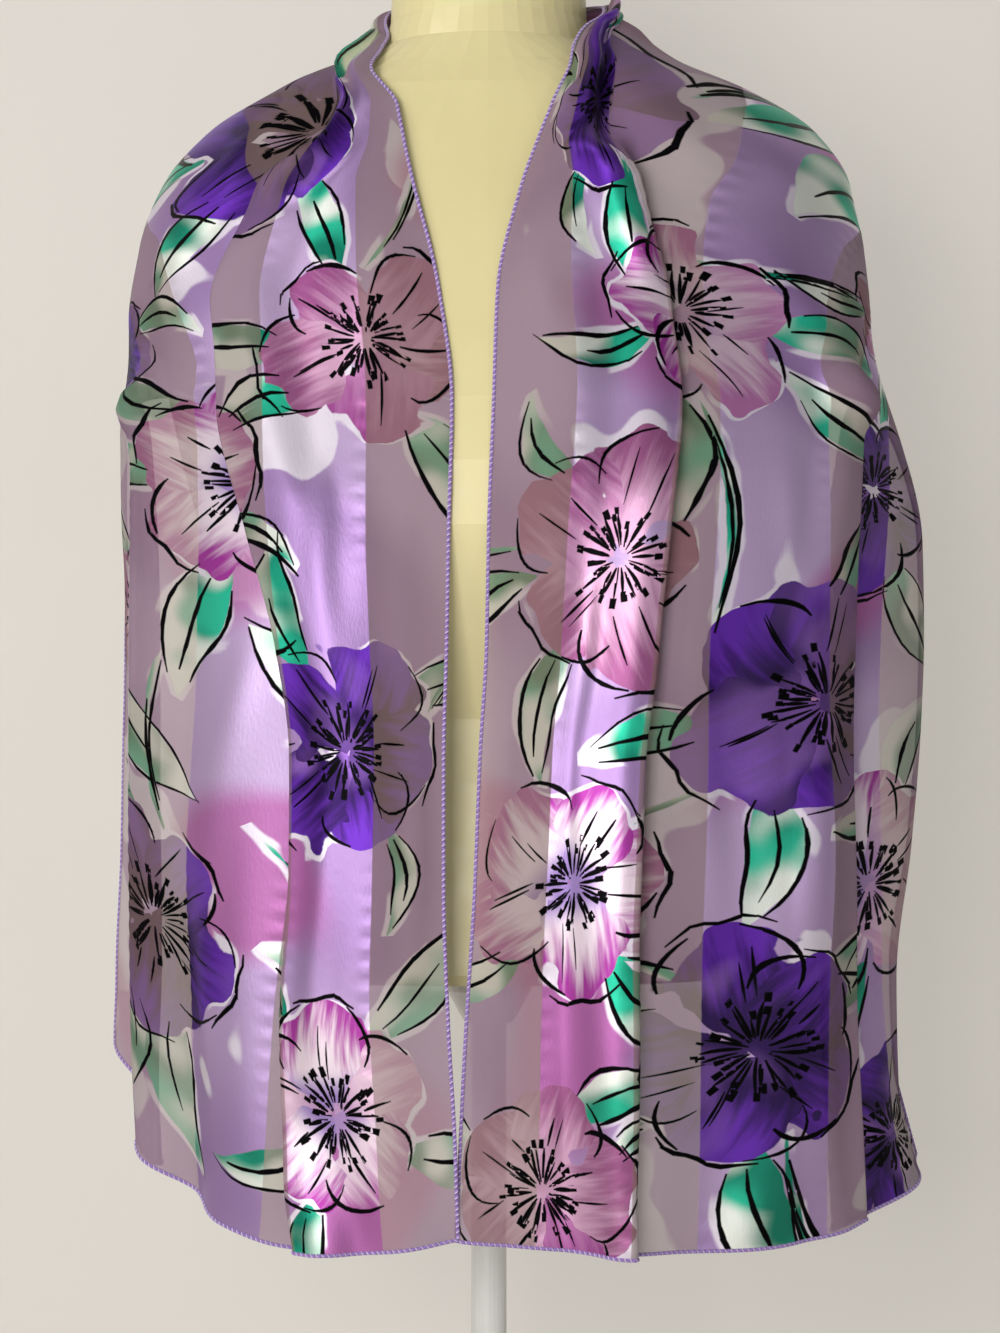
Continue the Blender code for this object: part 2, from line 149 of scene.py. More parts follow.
# the scarf's two halves, from each hem to the middle of the back
halves = {
    -1: {
        "along": (0.000, 0.050, 0.110, 0.180, 0.250, 0.310, 0.370, 0.440, 0.500, 0.560, 0.615,
                  0.665, 0.710, 0.760),
        "innerOut": (0.0155, 0.0170, 0.0205, 0.0230, 0.0230, 0.0215, 0.0205, 0.0190, 0.0260, 0.0390,
                     0.0490, 0.0560),
        "innerBearing": (128.0, 180.0),
        "innerHeight": (0.148, 0.198, 0.258, 0.328, 0.398, 0.457, 0.516, 0.586, 0.645, 0.700, 0.748,
                        0.798, 0.824, 0.822),
        "outerBearing": (90.0, 91.0, 92.0, 94.0, 95.0, 97.0, 98.0, 99.0, 104.0, 115.0, 131.0, 148.0,
                         164.0, 180.0),
        "outerHeight": (0.235, 0.283, 0.338, 0.398, 0.452, 0.495, 0.536, 0.575, 0.598, 0.603, 0.587,
                        0.548, 0.508, 0.488),
        "sag": (0.074, 0.060, 0.040, 0.025, 0.015, 0.008, 0.004, 0.0, 0.0, 0.0, 0.0, 0.0, 0.0, 0.0),
        "ridge": (0.088, 0.088, 0.087, 0.080, 0.079, 0.088, 0.105, 0.125, 0.120, 0.085, 0.045,
                  0.022, 0.019, 0.022),
        "tuck": (0.005, 0.007, 0.011, 0.015, 0.019, 0.027, 0.028, 0.023, 0.015, 0.007, 0.0, 0.0,
                 0.0, 0.0),
        "sideTuck": (0.012, 0.014, 0.018, 0.020, 0.020, 0.020, 0.016, 0.006, 0.0, 0.0, 0.0, 0.0,
                     0.0, 0.0),
        "roll": (0.002, 0.002, 0.003, 0.003, 0.003, 0.003, 0.004, 0.004, 0.004, 0.004, 0.004, 0.004,
                 0.004, 0.004),
        "innerLift": (0.004, 0.003, 0.001, 0.0, 0.0, 0.0, 0.0, 0.0, 0.0, 0.0, 0.0, 0.0, 0.0, 0.0),
        "flare": (0.015, 0.014, 0.012, 0.011, 0.010, 0.010, 0.012, 0.013, 0.008, 0.003, 0.0, 0.0,
                  0.0, 0.0),
        "ridgeWidth": (0.100, 0.100, 0.100, 0.100, 0.100, 0.101, 0.112, 0.127, 0.127, 0.122, 0.115,
                       0.110, 0.110, 0.110),
        "sideWidth": (0.245, 0.245, 0.245, 0.245, 0.245, 0.245, 0.245, 0.245, 0.245, 0.243, 0.240,
                      0.238, 0.236, 0.235),
    },
    1: {
        "along": (0.000, 0.050, 0.110, 0.180, 0.250, 0.310, 0.370, 0.440, 0.500, 0.560, 0.615,
                  0.665, 0.710, 0.760),
        "innerOut": (-0.0165, -0.0145, -0.0115, -0.0070, -0.0040, -0.0005, 0.0005, 0.0030, 0.0050,
                     0.0170, 0.0340, 0.0540),
        "innerBearing": (128.0, 180.0),
        "innerHeight": (0.147, 0.197, 0.257, 0.327, 0.397, 0.457, 0.516, 0.586, 0.645, 0.700, 0.748,
                        0.798, 0.824, 0.822),
        "outerBearing": (90.0, 91.0, 92.0, 94.0, 95.0, 97.0, 98.0, 99.0, 104.0, 115.0, 131.0, 148.0,
                         164.0, 180.0),
        "outerHeight": (0.170, 0.220, 0.278, 0.345, 0.411, 0.466, 0.518, 0.568, 0.598, 0.603, 0.587,
                        0.548, 0.508, 0.488),
        "sag": (0.050, 0.042, 0.030, 0.020, 0.012, 0.008, 0.004, 0.0, 0.0, 0.0, 0.0, 0.0, 0.0, 0.0),
        "ridge": (0.092, 0.091, 0.088, 0.084, 0.084, 0.086, 0.091, 0.096, 0.087, 0.064, 0.041,
                  0.024, 0.020, 0.022),
        "tuck": (0.005, 0.005, 0.005, 0.005, 0.005, 0.006, 0.006, 0.007, 0.008, 0.006, 0.0, 0.0,
                 0.0, 0.0),
        "sideTuck": (0.015, 0.020, 0.025, 0.027, 0.027, 0.026, 0.020, 0.007, 0.0, 0.0, 0.0, 0.0,
                     0.0, 0.0),
        "roll": (0.004, 0.004, 0.005, 0.006, 0.007, 0.008, 0.009, 0.010, 0.011, 0.010, 0.007, 0.004,
                 0.003, 0.003),
        "innerLift": (0.0, 0.0, 0.0, 0.0, 0.0, 0.0, 0.0, 0.0, 0.0, 0.0, 0.0, 0.0, 0.0, 0.0),
        "flare": (0.024, 0.014, 0.016, 0.030, 0.038, 0.041, 0.040, 0.028, 0.012, 0.004, 0.0, 0.0,
                  0.0, 0.0),
        "ridgeWidth": (0.100, 0.100, 0.100, 0.100, 0.100, 0.100, 0.100, 0.100, 0.100, 0.102, 0.105,
                       0.108, 0.110, 0.110),
        "sideWidth": (0.222, 0.222, 0.222, 0.222, 0.222, 0.222, 0.222, 0.222, 0.224, 0.226, 0.228,
                      0.230, 0.233, 0.235),
    },
}
scarf = {
    "width": 0.345, "length": 1.52,
    "foldRadius": 0.0020, "foldRun": 0.030, "sideShare": 0.74, "closedTuck": 0.008, "smallestLayer": 0.003,
    "innerSteps": 36, "middleSteps": 52, "outerSteps": 34, "underSteps": 8, "turnSteps": 6, "pathSteps": 160,
    "hangs": 0.44, "shoulder": 0.62,           # how far along the hanging end and the shoulder run
    "hangingRows": 145, "shoulderRows": 62, "backRows": 90,
    "waveHeight": 0.0045, "waveLength": 0.085, "waveReach": 0.42, "waveStart": 0.04,
}


def smooth(keys, values, wanted):  # a smooth curve through a table's rows that never overshoots
    keys, values = np.asarray(keys, float), np.asarray(values, float)
    wanted = np.asarray(wanted, float)
    if keys[0] > keys[-1]:
        keys, values = keys[::-1], values[::-1]
    steps = np.diff(keys)
    slopes = np.diff(values) / steps
    before, after = slopes[:-1], slopes[1:]
    sameWay = before * after > 0
    total = np.where(sameWay, before + after, 1.0)
    tangents = np.concatenate(([slopes[0]], np.where(sameWay, 2 * before * after / total, 0.0), [slopes[-1]]))
    index = np.clip(np.searchsorted(keys, wanted) - 1, 0, len(keys) - 2)
    t = np.clip((wanted - keys[index]) / steps[index], 0.0, 1.0)
    leave, arrive = tangents[index] * steps[index], tangents[index + 1] * steps[index]
    curve = values[index] * (2 * t**3 - 3 * t**2 + 1) + leave * (t**3 - 2 * t**2 + t)
    return curve + values[index + 1] * (3 * t**2 - 2 * t**3) + arrive * (t**3 - t**2)


def ease(t):
    t = np.clip(t, 0.0, 1.0)
    return t * t * (3 - 2 * t)


def formSize(column, height):
    return smooth(form["height"], form[column], height)


levels = np.linspace(form["height"][0], 0.0, 400)
widest = {name: np.maximum.accumulate(formSize(name, np.maximum(levels, form["height"][-1])))
          for name in ("halfWidth", "front", "back")}


def widestAbove(column, height):
    return np.interp(height, levels[::-1], widest[column][::-1])


def drapePoint(side, bearing, height):  # a point of the smooth surface that the cloth lies on
    sideRoom = room["left" if side < 0 else "right"]
    halfWidth = widestAbove("halfWidth", height) + smooth(room["height"], sideRoom, height)
    front = widestAbove("front", height) + smooth(room["height"], room["front"], height)
    back = widestAbove("back", height) + smooth(room["height"], room["back"], height)
    power = 2 / formSize("roundness", height)
    sine, cosine = np.sin(np.radians(bearing)), np.cos(np.radians(bearing))
    x = side * halfWidth * np.sign(sine) * np.abs(sine) ** power
    y = -np.where(cosine > 0, front, back) * np.sign(cosine) * np.abs(cosine) ** power
    return np.stack((x, y, height + 0 * x), axis=-1)


def drapeNormal(side, bearing, height):
    across = drapePoint(side, bearing + 1.0, height) - drapePoint(side, bearing - 1.0, height)
    down = drapePoint(side, bearing, height - 0.002) - drapePoint(side, bearing, height + 0.002)
    normal = np.cross(down, across) * side
    return normal / np.linalg.norm(normal, axis=-1, keepdims=True)


def bearingInFront(side, out, height):
    halfWidth = drapePoint(side, 90.0, height)[0] * side
    share = min(abs(out) / halfWidth, 1.0)
    return math.copysign(math.degrees(math.asin(share ** (formSize("roundness", height) / 2))), out)


def sectionTable(side):  # with one row of the other half to run on into
    table = dict(halves[side])
    places = zip(table["innerOut"], table["innerHeight"])
    inFront = [bearingInFront(side, out, height) for out, height in places]
    table["innerBearing"] = tuple(inFront) + table["innerBearing"]
    del table["innerOut"]
    for name, values in table.items():
        mirrored = name in ("along", "innerBearing", "outerBearing")
        table[name] = values + (2 * values[-1] - values[-2] if mirrored else values[-2],)
    return table


tables = {side: sectionTable(side) for side in halves}


def foldPath(ridge, tuck):  # over the ridge, back under, and on
    fullTurn = math.pi * ease(tuck / scarf["closedTuck"])
    arc = math.pi * scarf["foldRadius"] / scarf["turnSteps"]
    hidden = tuck + scarf["smallestLayer"]
    over = (np.arange(scarf["turnSteps"]) + 0.5) / scarf["turnSteps"] * fullTurn
    angles = np.concatenate((over, np.full(scarf["underSteps"], fullTurn), over[::-1]))
    turning = np.full(scarf["turnSteps"], arc)
    under = np.full(scarf["underSteps"], hidden / scarf["underSteps"])
    steps = np.concatenate((turning, under, turning))
    ways = np.concatenate(([0.0], np.cumsum(steps * np.cos(angles))))
    drops = np.concatenate(([0.0], np.cumsum(steps * np.sin(angles))))
    return ridge - (ways[-1] + hidden) / 2 + ways, drops[-1] - drops


def foldedPath(width, row):
    side = scarf["sideShare"] * width
    mainWays, mainLifts = foldPath(row["ridge"], row["tuck"])
    sideWays, sideLifts = foldPath(side, row["sideTuck"])
    run = scarf["foldRun"]
    innerWays = np.linspace(0, mainWays[0], scarf["innerSteps"] + 1)[:-1]
    innerLifts = mainLifts[0] * ease((innerWays - (mainWays[0] - row["tuck"] - run)) / run)
    innerLifts += row["roll"] * np.sin(math.pi * innerWays / mainWays[0])
    innerLifts += row["innerLift"] * (1 - innerWays / mainWays[0])
    middleWays = np.linspace(mainWays[-1], sideWays[0], scarf["middleSteps"] + 1)[1:-1]
    middleLifts = sideLifts[0] * ease((middleWays - (sideWays[0] - row["sideTuck"] - run)) / run)
    outerWays = np.linspace(sideWays[-1], width, scarf["outerSteps"] + 1)[1:]
    outerLifts = row["flare"] * ease((outerWays - side) / (width - side))
    ways = np.concatenate((innerWays, mainWays, middleWays, sideWays, outerWays))
    lifts = np.concatenate((innerLifts, mainLifts, middleLifts, sideLifts, outerLifts))
    ridgeColumn = len(innerWays)
    sideColumn = ridgeColumn + len(mainWays) + len(middleWays)
    travel = np.concatenate(([0], np.cumsum(np.hypot(np.diff(ways), np.diff(lifts)))))
    anchors = (0, travel[ridgeColumn], travel[sideColumn], travel[-1])
    widths = np.interp(travel, anchors, (0, row["ridgeWidth"], row["sideWidth"], scarf["width"]))
    return ways, lifts, widths


def section(distance):  # points across the scarf, and how far across the flat cloth each lies
    side = -1 if distance <= scarf["length"] / 2 else 1
    along = min(distance, scarf["length"] - distance)
    table = tables[side]
    row = {name: float(smooth(table["along"], values, along))
           for name, values in table.items() if name != "along"}
    share = np.linspace(0, 1, scarf["pathSteps"] + 1)
    bearings = row["innerBearing"] + (row["outerBearing"] - row["innerBearing"]) * share
    rise = row["outerHeight"] - row["innerHeight"]
    heights = row["innerHeight"] + rise * share**2 - row["sag"] * share * (1 - share)
    path = drapePoint(side, bearings, heights)
    lengths = np.concatenate(([0], np.cumsum(np.linalg.norm(np.diff(path, axis=0), axis=1))))
    ways, lifts, widths = foldedPath(lengths[-1], row)
    fade = ease(1 - along / scarf["waveReach"])
    waves = np.sin(2 * math.pi * ways / scarf["waveLength"] + side) * ease(ways / scarf["waveStart"])
    lifts = lifts + scarf["waveHeight"] * fade * waves
    bearings = np.interp(ways, lengths, bearings)
    heights = np.interp(ways, lengths, heights)
    return drapePoint(side, bearings, heights) + lifts[:, None] * drapeNormal(side, bearings, heights), widths


def directions(sheet, axis):
    steps = np.diff(sheet, axis=axis)
    steps /= np.linalg.norm(steps, axis=2, keepdims=True)
    first, last = np.take(steps, [0], axis), np.take(steps, [-1], axis)
    return np.concatenate((first, steps), axis) + np.concatenate((steps, last), axis)


creases = {
    "pucker": 0.0004, "puckerLength": 0.011,   # fine uneven puckers where satin meets sheer
    "puckerReach": 0.010, "wander": 0.006, "uneven": 0.4, "fadeShare": 0.25,
    "hemWave": 0.0022, "hemLength": 0.052, "hemReach": 0.035,
    "soft": 0.0030,                            # uneven ease all over, less of it over the shoulder
    "shoulderShare": 0.35, "shoulderFrom": 0.50, "shoulderRun": 0.10,
}
stripeEdges = (0.045, 0.100, 0.145, 0.200, 0.245, 0.300)
folds = (
    # side, along from, to, across from, to, half span, lift: soft ridges, listed one by one
    (-1, 0.47, 0.755, 0.128, 0.040, 0.012, 0.0060), (-1, 0.50, 0.740, 0.180, 0.082, 0.015, 0.0050),
    (-1, 0.40, 0.640, 0.235, 0.165, 0.018, 0.0050), (-1, 0.30, 0.560, 0.052, 0.030, 0.012, 0.0030),
    (-1, -0.02, 0.300, 0.062, 0.050, 0.016, 0.0035), (-1, 0.00, 0.360, 0.215, 0.200, 0.020, 0.0040),
    (1, 0.47, 0.755, 0.098, 0.034, 0.012, 0.0060), (1, 0.52, 0.740, 0.150, 0.076, 0.014, 0.0050),
    (1, 0.42, 0.650, 0.215, 0.150, 0.018, 0.0050), (1, 0.28, 0.560, 0.045, 0.026, 0.012, 0.0030),
    (1, -0.02, 0.320, 0.050, 0.060, 0.018, 0.0035), (1, 0.04, 0.400, 0.190, 0.170, 0.022, 0.0040),
    (-1, 0.03, 0.420, 0.074, 0.088, 0.009, 0.0022), (-1, 0.06, 0.440, 0.026, 0.018, 0.009, 0.0018),
    (-1, 0.02, 0.340, 0.186, 0.178, 0.009, 0.0022), (-1, 0.22, 0.500, 0.062, 0.074, 0.008, 0.0020),
    (1, 0.02, 0.420, 0.078, 0.070, 0.009, 0.0022), (1, 0.05, 0.460, 0.024, 0.016, 0.009, 0.0018),
    (1, 0.06, 0.500, 0.150, 0.140, 0.010, 0.0026), (1, 0.10, 0.460, 0.192, 0.184, 0.009, 0.0020),
    (1, 0.24, 0.520, 0.064, 0.052, 0.008, 0.0020),
)


def smallLifts(distance, widths):
    along = min(distance, scarf["length"] - distance)
    side = -1 if distance <= scarf["length"] / 2 else 1
    lifts = np.zeros(len(widths))
    nearest = np.min(np.abs(widths[:, None] - np.array(stripeEdges)), axis=1)
    calm = 0.5 + noise.noise(Vector((distance * 14, side, 7.7)))
    puckers = calm * np.sin(2 * math.pi * distance / creases["puckerLength"] + 40 * widths)
    lifts += creases["pucker"] * puckers * ease(1 - nearest / creases["puckerReach"])
    for where, start, end, first, last, span, lift in folds:
        share = (along - start) / (end - start)
        if where == side and 0 < share < 1:
            middle = first + (last - first) * ease(share)
            middle += creases["wander"] * math.sin(share * 7 + first * 90)
            uneven = 0.8 + creases["uneven"] * math.sin(share * 11 + last * 200)
            gone = min(ease(share / creases["fadeShare"]), ease((1 - share) / creases["fadeShare"]))
            lifts += lift * gone * uneven * np.exp(-((widths - middle) / span) ** 2)
    edge = ease(1 - along / creases["hemReach"])
    lifts += creases["hemWave"] * edge * np.sin(2 * math.pi * widths / creases["hemLength"] + side * 1.3)
    least = creases["shoulderShare"]
    fade = least + (1 - least) * ease((creases["shoulderFrom"] - along) / creases["shoulderRun"])
    for index, width in enumerate(widths):
        lifts[index] += creases["soft"] * fade * noise.noise(Vector((width * 16, distance * 5, 3.7)))
    return lifts


def makeScarf():
    end = scarf["shoulder"]
    hanging = np.linspace(0, scarf["hangs"], scarf["hangingRows"] + 1)
    shoulder = np.linspace(scarf["hangs"], end, scarf["shoulderRows"] + 1)[1:]
    back = np.linspace(end, scarf["length"] - end, scarf["backRows"] + 1)[1:-1]
    half = np.concatenate((hanging, shoulder))
    distances = np.concatenate((half, back, scarf["length"] - half[::-1]))
    made = [section(distance) for distance in distances]
    sheet = np.array([points for points, _ in made])
    widths = np.array([across for _, across in made])
    normals = np.cross(directions(sheet, 1), directions(sheet, 0))
    normals /= np.linalg.norm(normals, axis=2, keepdims=True)
    lifts = np.array([smallLifts(distance, across) for distance, across in zip(distances, widths)])
    sheet = sheet + normals * lifts[:, :, None] * -1
    rows, columns = sheet.shape[:2]
    mesh = bpy.data.meshes.new("scarf_cloth")
    faces = [(r * columns + c, r * columns + c + 1, (r + 1) * columns + c + 1, (r + 1) * columns + c)
             for r in range(rows - 1) for c in range(columns - 1)]
    mesh.from_pydata(sheet.reshape(-1, 3).tolist(), [], faces)
    uvs = mesh.uv_layers.new(name="cut")
    flat = np.stack((widths, np.repeat(distances[:, None], columns, 1)), axis=-1).reshape(-1, 2)
    corners = np.zeros(len(mesh.loops), dtype=int)
    mesh.loops.foreach_get("vertex_index", corners)
    uvs.data.foreach_set("uv", flat[corners].reshape(-1))
    mesh.shade_smooth()
    piece = bpy.data.objects.new("scarf_cloth", mesh)
    bpy.context.scene.collection.objects.link(piece)
    return piece, sheet, normals


scarfCloth, sheet, sheetNormals = makeScarf()
facing = sum(f.normal.y * f.area for f in scarfCloth.data.polygons if f.center.y < -0.05)
if facing > 0:  # the right side of the cloth faces out
    scarfCloth.data.flip_normals()
print("scarf draped,", len(scarfCloth.data.polygons), "faces, facing", round(facing, 4))

hem = {
    "width": 0.0010, "thick": 0.0008, "sides": 8, "stitch": 0.0030,
    "thread": "9474bd", "paleThread": "cdbfe0", "gap": "3b2f55",
}


def makeHem(sheet, normals):
    rows, columns = sheet.shape[:2]
    order = [(0, c) for c in range(columns - 1)] + [(r, columns - 1) for r in range(rows - 1)]
    order += [(rows - 1, c) for c in range(columns - 1, 0, -1)] + [(r, 0) for r in range(rows - 1, 0, -1)]
    points = np.array([sheet[at] for at in order])
    outs = np.array([normals[at] for at in order])
    ahead = np.roll(points, -1, 0) - np.roll(points, 1, 0)
    ahead /= np.linalg.norm(ahead, axis=1, keepdims=True)
    sideways = np.cross(ahead, outs)
    sideways /= np.linalg.norm(sideways, axis=1, keepdims=True)
    outs = np.cross(sideways, ahead)
    closed = np.vstack((points, points[:1]))
    lengths = np.concatenate(([0], np.cumsum(np.linalg.norm(np.diff(closed, axis=0), axis=1))))
    count, sides = len(points), hem["sides"]
    angles = np.arange(sides) / sides * 2 * math.pi
    rings = (points[:, None] + sideways[:, None] * (np.cos(angles) * hem["width"])[None, :, None]
             + outs[:, None] * (np.sin(angles) * hem["thick"])[None, :, None])
    mesh = bpy.data.meshes.new("rolled_hem")
    faces, uvs = [], []
    for i in range(count):
        j = (i + 1) % count
        for k in range(sides):
            m = (k + 1) % sides
            faces.append((i * sides + k, i * sides + m, j * sides + m, j * sides + k))
            uvs += [(lengths[i], k / sides), (lengths[i], (k + 1) / sides), (lengths[i + 1], (k + 1) / sides),
                    (lengths[i + 1], k / sides)]
    mesh.from_pydata(rings.reshape(-1, 3).tolist(), [], faces)
    layer = mesh.uv_layers.new(name="cut")
    layer.data.foreach_set("uv", np.array(uvs).reshape(-1))
    fix = bmesh.new()
    fix.from_mesh(mesh)
    bmesh.ops.recalc_face_normals(fix, faces=fix.faces)
    fix.to_mesh(mesh)
    fix.free()
    mesh.shade_smooth()
    piece = bpy.data.objects.new("rolled_hem", mesh)
    bpy.context.scene.collection.objects.link(piece)
    return piece


rolledHem = makeHem(sheet, sheetNormals)
print("hem rolled,", len(rolledHem.data.polygons), "faces")

# a generic flower-and-leaf print, laid out in metres over the flat cloth
dye = {
    "ground": "9a7cae", "groundPale": "b9a1c8", "wash": "dcd3e2", "rose": "a8589a",
    "deep": "28084e", "violet": "5f27a6", "bloom": "9468be", "orchid": "9c3494", "petal": "e2d2df",
    "dusk": "945482", "duskPale": "cb9fbe", "teal": "027a63", "mint": "25b897", "leafPale": "e0e5de",
    # grey: mixed into the sheer stripes, partly their duller dye and partly painted shade from behind them
    "ink": "020103", "grey": "806a5a",
}
flowers = (
    # across, along, radius, turn, kind: 0 deep purple, 1 orchid and white, 2 dusky rose
    (0.070, 0.070, 0.058, 0.3, 1), (0.225, 0.140, 0.062, 1.0, 0), (0.060, 0.255, 0.060, 2.0, 0),
    (0.300, 0.300, 0.056, 0.5, 2), (0.170, 0.400, 0.062, 1.7, 1), (0.040, 0.470, 0.056, 0.9, 2),
    (0.290, 0.510, 0.058, 2.6, 0), (0.120, 0.600, 0.060, 0.9, 0), (0.275, 0.670, 0.058, 0.2, 1),
    (0.070, 0.745, 0.056, 1.1, 2), (0.210, 0.820, 0.062, 2.2, 0), (0.075, 0.905, 0.060, 0.4, 0),
    (0.270, 0.965, 0.058, 1.9, 2), (0.130, 1.030, 0.058, 0.8, 1), (0.290, 1.120, 0.060, 2.9, 0),
    (0.075, 1.165, 0.062, 2.4, 2), (0.195, 1.240, 0.066, 1.4, 0), (0.060, 1.330, 0.060, 0.1, 1),
    (0.290, 1.345, 0.058, 2.1, 1), (0.165, 1.420, 0.060, 0.6, 0), (0.050, 1.490, 0.054, 1.2, 2),
    (0.300, 1.485, 0.056, 2.7, 0),
)
motif = {
    "seed": 8, "petals": 5, "petalWidth": (0.40, 0.53), "petalPower": 1.35, "petalRound": 0.6,
    "leaves": 5, "leafLong": (0.052, 0.098), "leafWidth": (0.13, 0.20), "leafPower": 0.8, "leafRound": 0.95,
    "leafBend": 0.014, "stemLong": (0.10, 0.17), "stemWidth": 0.0026, "stemBend": 0.022, "apart": 0.005,
    "covers": 0.88, "inkWidth": 0.00095,
    "stamens": 30, "stamenWidth": 0.0009, "headLong": 0.0020, "headWidth": 0.0014,
}


def outline(shape, t):  # half width of a petal or leaf at shares t of its length
    kind = "petal" if shape["petal"] else "leaf"
    t = np.clip(t, 0, 1)
    bulge = np.maximum(np.sin(math.pi * t ** motif[kind + "Power"]), 0)
    return shape["wide"] * bulge ** motif[kind + "Round"]


def onCloth(shape, t, across):  # flat place of a point given along and across a shape
    t, across = np.asarray(t, float), np.asarray(across, float)
    ahead = shape["ahead"]
    side = np.array((-ahead[1], ahead[0]))
    bow = 4 * t * (1 - t) * shape["bend"]
    return shape["base"] + np.outer(t * shape["long"], ahead) + np.outer(across + bow, side)


def inShape(shape, points):  # share of its length and distance across, the other way round
    local = points - shape["base"]
    ahead = shape["ahead"]
    t = (local @ ahead) / shape["long"]
    inside = np.clip(t, 0, 1)
    return t, local[..., 1] * ahead[0] - local[..., 0] * ahead[1] - 4 * inside * (1 - inside) * shape["bend"]


def makeShape(base, angle, long, wide, bend, tint, petal):
    ahead = np.array((math.cos(angle), math.sin(angle)))
    return {"base": np.array(base), "ahead": ahead, "long": long, "wide": wide, "bend": bend,
            "tint": tint, "petal": petal}


def spineOf(shape):  # seven points down its middle
    shares = np.linspace(0, 1, 7)
    return onCloth(shape, shares, 0 * shares)


def keepApart(leaf, other):
    steps = spineOf(leaf)[:, None] - spineOf(other)[None]
    return np.min(np.linalg.norm(steps, axis=2)) > leaf["wide"] + other["wide"] + motif["apart"]


def offFlowers(point):  # whether no flower covers the point
    return all(np.linalg.norm(point - np.array(f[:2])) > f[2] * motif["covers"] for f in flowers)


def growPetals(chance):  # five a flower, those side by side in different layers
    layers = [[], [], []]
    for u, v, radius, turn, kind in flowers:
        pitch = 2 * math.pi / motif["petals"]
        for index in range(motif["petals"]):
            angle = turn + index * pitch + chance.uniform(-0.16, 0.16)
            long = radius * chance.uniform(0.86, 1.16)
            wide = radius * chance.uniform(*motif["petalWidth"])
            petal = makeShape((u, v), angle, long, wide, chance.uniform(-0.09, 0.09) * radius,
                              kind + chance.uniform(0.05, 0.85), True)
            layers[2 if index == motif["petals"] - 1 else index % 2].append(petal)
    return layers


def growLeaves(chance):  # leaves and stems from under the petals, so shared out that none in a layer cross
    layers = [[], []]
    for u, v, radius, turn, _ in flowers:
        for index in range(motif["leaves"] + 1):
            stem = index == motif["leaves"]
            angle = turn + (index + 0.5) * 2 * math.pi / motif["leaves"] + chance.uniform(-0.4, 0.4)
            base = (u + math.cos(angle) * radius * 0.75, v + math.sin(angle) * radius * 0.75)
            angle += chance.uniform(-0.6, 0.6)
            long = chance.uniform(*motif["stemLong" if stem else "leafLong"])
            wide = motif["stemWidth"] if stem else long * chance.uniform(*motif["leafWidth"])
            bend = chance.choice((-1, 1)) * chance.uniform(0.3, 1) * motif["stemBend" if stem else "leafBend"]
            leaf = makeShape(base, angle, long, wide, bend, chance.uniform(0, 1), False)
            for layer in layers:
                if all(keepApart(leaf, other) for other in layer):
                    layer.append(leaf)
                    break
    return layers


def rimStroke(shape, start, end, side, away, chance):  # along one side of a shape, a little off its colour
    t = np.linspace(start, end, 10)
    slip = away + 0.0012 * np.sin(t * chance.uniform(6, 12) + chance.uniform(0, 6))
    return onCloth(shape, t, side * (outline(shape, t) + slip))


def inkStrokes(chance, petals, leaves):  # points and half widths at their ends and middle
    strokes = []
    thin = motif["inkWidth"]
    for shape in [leaf for layer in leaves for leaf in layer]:
        sides = (-1, 1) if chance.random() < 0.55 else (chance.choice((-1, 1)),)
        drawn = [rimStroke(shape, chance.uniform(0.02, 0.2), chance.uniform(0.8, 1.04), side, 0.0003, chance)
                 for side in sides]
        t = np.linspace(-0.08, chance.uniform(0.55, 0.85), 8)
        drawn.append(onCloth(shape, t, 0.0008 * np.sin(t * 9)))
        for points in drawn:
            free = [offFlowers(point) for point in points]
            start = free.index(True) if True in free else len(free)
            end = start + (free[start:] + [False]).index(False)
            if end - start > 3:  # the first stretch that no flower covers
                strokes.append((points[start:end], thin * chance.uniform(0.7, 1.35)))
    for shape in [petal for layer in petals for petal in layer]:
        for side in (-1, 1):
            if chance.random() < 0.72:
                t0, t1 = chance.uniform(0.35, 0.62), chance.uniform(0.90, 1.0)
                strokes.append((rimStroke(shape, t0, t1, side, chance.uniform(-0.0015, 0.0030), chance),
                                thin * chance.uniform(0.7, 1.3)))
        if chance.random() < 0.7:  # over the tip, with a small curl
            across = np.linspace(-0.75, 0.75, 9) * shape["wide"]
            curl = 0.02 * np.sin(across * 260 + shape["tint"] * 9)
            tip = 1.02 - 0.17 * np.abs(across / shape["wide"]) ** 2.2 + curl
            strokes.append((onCloth(shape, tip, across), thin * chance.uniform(0.8, 1.3)))
        for _ in range(2):
            lean = chance.uniform(-0.45, 0.45) * shape["wide"]
            t = np.linspace(chance.uniform(0.30, 0.42), chance.uniform(0.55, 0.85), 6)
            strokes.append((onCloth(shape, t, lean * (0.6 + 0.7 * t)), thin * chance.uniform(0.45, 0.8)))
    for u, v, radius, turn, _ in flowers:
        middle = np.array((u, v)) + chance.uniform(-0.004, 0.004, 2)
        for index in range(motif["stamens"]):
            angle = turn + index * 2 * math.pi / motif["stamens"] + chance.uniform(-0.13, 0.13)
            span = np.linspace(chance.uniform(0.07, 0.14), chance.uniform(0.24, 0.42), 5) * radius
            bent = angle + chance.uniform(-9, 9) * (span - span[0])
            points = middle + span[:, None] * np.stack((np.cos(bent), np.sin(bent)), 1)
            strokes.append((points, motif["stamenWidth"] * chance.uniform(0.7, 1.2)))
            end = points[-1] + chance.uniform(-0.002, 0.002, 2)
            ahead = np.array((math.cos(bent[-1]), math.sin(bent[-1])))
            head = np.array((end, end + motif["headLong"] * ahead))
            strokes.append((head, motif["headWidth"] * chance.uniform(0.6, 1.3)))
    return strokes


def storeColour(mesh, name, domain, values):
    layer = mesh.attributes.new(name, "FLOAT_COLOR", domain)
    layer.data.foreach_set("color", np.ascontiguousarray(values, dtype=np.float32).reshape(-1))


